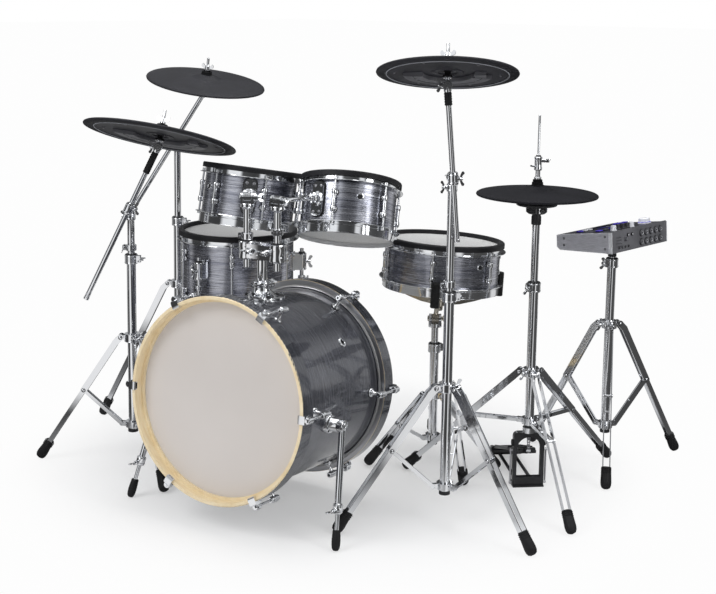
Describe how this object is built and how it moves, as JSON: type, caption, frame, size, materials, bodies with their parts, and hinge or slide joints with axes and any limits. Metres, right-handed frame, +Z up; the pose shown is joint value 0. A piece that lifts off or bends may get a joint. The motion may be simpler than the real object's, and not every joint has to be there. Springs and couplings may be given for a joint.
{
  "type": "electronic drum kit",
  "caption": "Electronic drum kit with a tilted bass drum, toms on posts, a snare in a basket, pads on boom stands, a hi-hat with a pedal and a wedge-shaped sound module.",
  "frame": {"origin": "on the floor, at the middle of the footprint box", "axes": "+X to the right seen from the front of the bass drum, +Y back towards the player, +Z up"},
  "size_m": [1.5913, 1.2029, 1.1626],
  "materials": {
    "shell_wrap": "glossy brushed dark steel-grey wrap",
    "hoop_wood": "satin natural maple",
    "bass_skin": "satin pale film",
    "mesh_skin": "fine pale mesh",
    "rim_rubber": "matt black",
    "pad_rubber": "matt black",
    "foot_rubber": "matt black",
    "sensor_plastic": "matt black",
    "module_body": "satin dark grey",
    "module_keys": "pale keys and knobs",
    "jack_metal": "plain",
    "chrome": "polished",
    "pedal_metal": "satin cast"
  },
  "bodies": {
    "kit_base": {"bass_shell": "shell_wrap", "bass_front_hoop": "hoop_wood", "bass_rear_hoop": "hoop_wood", "bass_front_head": "bass_skin", "bass_rear_head": "bass_skin", "bass_lugs": "chrome", "bass_claws": "chrome", "tom_mount": "chrome", "floor_tom_shell": "shell_wrap", "floor_tom_heads": "mesh_skin", "floor_tom_rim": "rim_rubber", "floor_tom_metal": "chrome", "ride_tripod": "chrome", "left_tripod": "chrome", "back_tripod": "chrome", "hat_tripod": "chrome", "module_tripod": "chrome", "snare_tripod": "chrome", "rubber_feet": "foot_rubber", "wing_bolts": "chrome"},
    "left_spur": {"left_spur": "chrome"},
    "right_spur": {"right_spur": "chrome"},
    "left_post": {"left_post": "chrome"},
    "right_post": {"right_post": "chrome"},
    "left_tom": {"left_arm": "chrome", "left_tom_shell": "shell_wrap", "left_tom_heads": "mesh_skin", "left_tom_rim": "rim_rubber", "left_tom_metal": "chrome"},
    "right_tom": {"right_arm": "chrome", "right_tom_shell": "shell_wrap", "right_tom_heads": "mesh_skin", "right_tom_rim": "rim_rubber", "right_tom_metal": "chrome"},
    "floor_leg_a": {"floor_leg_a": "chrome"},
    "floor_leg_b": {"floor_leg_b": "chrome"},
    "floor_leg_c": {"floor_leg_c": "chrome"},
    "snare_post": {"snare_post": "chrome"},
    "snare": {"snare_basket": "chrome", "snare_shell": "shell_wrap", "snare_heads": "mesh_skin", "snare_rim": "rim_rubber", "snare_metal": "chrome"},
    "ride_post": {"ride_post": "chrome"},
    "ride_boom": {"ride_boom": "chrome"},
    "ride_pad": {"ride_pad": "pad_rubber"},
    "left_stand_post": {"left_stand_post": "chrome"},
    "left_boom": {"left_boom": "chrome"},
    "left_pad": {"left_pad": "pad_rubber"},
    "back_post": {"back_post": "chrome"},
    "back_boom": {"back_boom": "chrome"},
    "back_pad": {"back_pad": "pad_rubber"},
    "hat_post": {"hat_post": "sensor_plastic"},
    "hat_rod": {"hat_rod": "chrome"},
    "hat_pad": {"hat_pad": "pad_rubber"},
    "footboard": {"footboard": "pedal_metal"},
    "module_post": {"module_post": "chrome"},
    "module": {"module_case": "module_body", "module_controls": "module_keys", "module_jacks": "jack_metal"}
  },
  "joints": [
    {"name": "left_spur_fold", "type": "hinge", "parent": "kit_base", "child": "left_spur", "pos_m": [-0.2356, -0.441, 0.269], "axis": [1, 0, 0], "range_deg": [-75, 0]},
    {"name": "right_spur_fold", "type": "hinge", "parent": "kit_base", "child": "right_spur", "pos_m": [0.3032, -0.441, 0.269], "axis": [1, 0, 0], "range_deg": [-75, 0]},
    {"name": "left_post_height", "type": "slide", "parent": "kit_base", "child": "left_post", "axis": [0, 0, 1], "range_m": [-0.01, 0.018]},
    {"name": "right_post_height", "type": "slide", "parent": "kit_base", "child": "right_post", "axis": [0, 0, 1], "range_m": [-0.04, 0.05]},
    {"name": "left_tom_tilt", "type": "hinge", "parent": "left_post", "child": "left_tom", "pos_m": [-0.0112, -0.384, 0.775], "axis": [-0.8314, -0.5557, 0], "range_deg": [-3, 1]},
    {"name": "right_tom_tilt", "type": "hinge", "parent": "right_post", "child": "right_tom", "pos_m": [0.0788, -0.384, 0.775], "axis": [-0.9967, 0.0814, 0], "range_deg": [-12, 8]},
    {"name": "floor_leg_a_length", "type": "slide", "parent": "kit_base", "child": "floor_leg_a", "axis": [0, 0, 1], "range_m": [-0.01, 0.12]},
    {"name": "floor_leg_b_length", "type": "slide", "parent": "kit_base", "child": "floor_leg_b", "axis": [0, 0, 1], "range_m": [-0.01, 0.12]},
    {"name": "floor_leg_c_length", "type": "slide", "parent": "kit_base", "child": "floor_leg_c", "axis": [0, 0, 1], "range_m": [-0.01, 0.12]},
    {"name": "snare_height", "type": "slide", "parent": "kit_base", "child": "snare_post", "axis": [0, 0, 1], "range_m": [-0.04, 0.05]},
    {"name": "snare_tilt", "type": "hinge", "parent": "snare_post", "child": "snare", "pos_m": [0.2238, 0.173, 0.392], "axis": [-0.859, -0.512, 0], "range_deg": [-8, 8]},
    {"name": "ride_height", "type": "slide", "parent": "kit_base", "child": "ride_post", "axis": [0, 0, 1], "range_m": [-0.08, 0.07]},
    {"name": "ride_boom_tilt", "type": "hinge", "parent": "ride_post", "child": "ride_boom", "pos_m": [0.4728, -0.239, 0.85], "axis": [0.512, -0.859, 0], "range_deg": [-25, 25]},
    {"name": "ride_pad_rock", "type": "hinge", "parent": "ride_boom", "child": "ride_pad", "pos_m": [0.46623, -0.26277, 1.10564], "axis": [0.859, 0.512, 0], "range_deg": [-8, 8], "stiffness_Nm_per_rad": 6},
    {"name": "left_stand_height", "type": "slide", "parent": "kit_base", "child": "left_stand_post", "axis": [0, 0, 1], "range_m": [-0.018, 0.07]},
    {"name": "left_boom_tilt", "type": "hinge", "parent": "left_stand_post", "child": "left_boom", "pos_m": [-0.4402, -0.315, 0.703], "axis": [-0.512, 0.859, 0], "range_deg": [-25, 2]},
    {"name": "left_pad_rock", "type": "hinge", "parent": "left_boom", "child": "left_pad", "pos_m": [-0.35836, -0.2863, 0.90721], "axis": [0.859, 0.512, 0], "range_deg": [-4, 8], "stiffness_Nm_per_rad": 10},
    {"name": "back_height", "type": "slide", "parent": "kit_base", "child": "back_post", "axis": [0, 0, 1], "range_m": [-0.08, 0.07]},
    {"name": "back_boom_tilt", "type": "hinge", "parent": "back_post", "child": "back_boom", "pos_m": [-0.5662, 0.041, 0.85], "axis": [0.512, -0.859, 0], "range_deg": [-15, 25]},
    {"name": "back_pad_rock", "type": "hinge", "parent": "back_boom", "child": "back_pad", "pos_m": [-0.47195, 0.05686, 1.02759], "axis": [0.859, 0.512, 0], "range_deg": [-8, 8], "stiffness_Nm_per_rad": 6},
    {"name": "hat_height", "type": "slide", "parent": "kit_base", "child": "hat_post", "axis": [0, 0, 1], "range_m": [0, 0.07]},
    {"name": "hat_rod_pull", "type": "slide", "parent": "hat_post", "child": "hat_rod", "axis": [0, 0, 1], "range_m": [-0.012, 0]},
    {"name": "hat_pad_rock", "type": "hinge", "parent": "hat_rod", "child": "hat_pad", "pos_m": [0.5418, 0.105, 0.786], "axis": [0.859, 0.512, 0], "range_deg": [-6, 6], "stiffness_Nm_per_rad": 5},
    {"name": "pedal", "type": "hinge", "parent": "kit_base", "child": "footboard", "pos_m": [0.38961, 0.30334, 0.016], "axis": [0.7934, 0.6088, 0], "range_deg": [0, 2.75], "stiffness_Nm_per_rad": 40, "springref_deg": -11.46},
    {"name": "module_height", "type": "slide", "parent": "kit_base", "child": "module_post", "axis": [0, 0, 1], "range_m": [0, 0.07]},
    {"name": "module_tilt", "type": "hinge", "parent": "module_post", "child": "module", "pos_m": [0.6398, 0.406, 0.592], "axis": [0.213, 0.977, 0], "range_deg": [-10, 15]}
  ],
  "couplings": [
    {"joint": "hat_rod_pull", "follows": "pedal", "m_per_rad": -0.25}
  ]
}
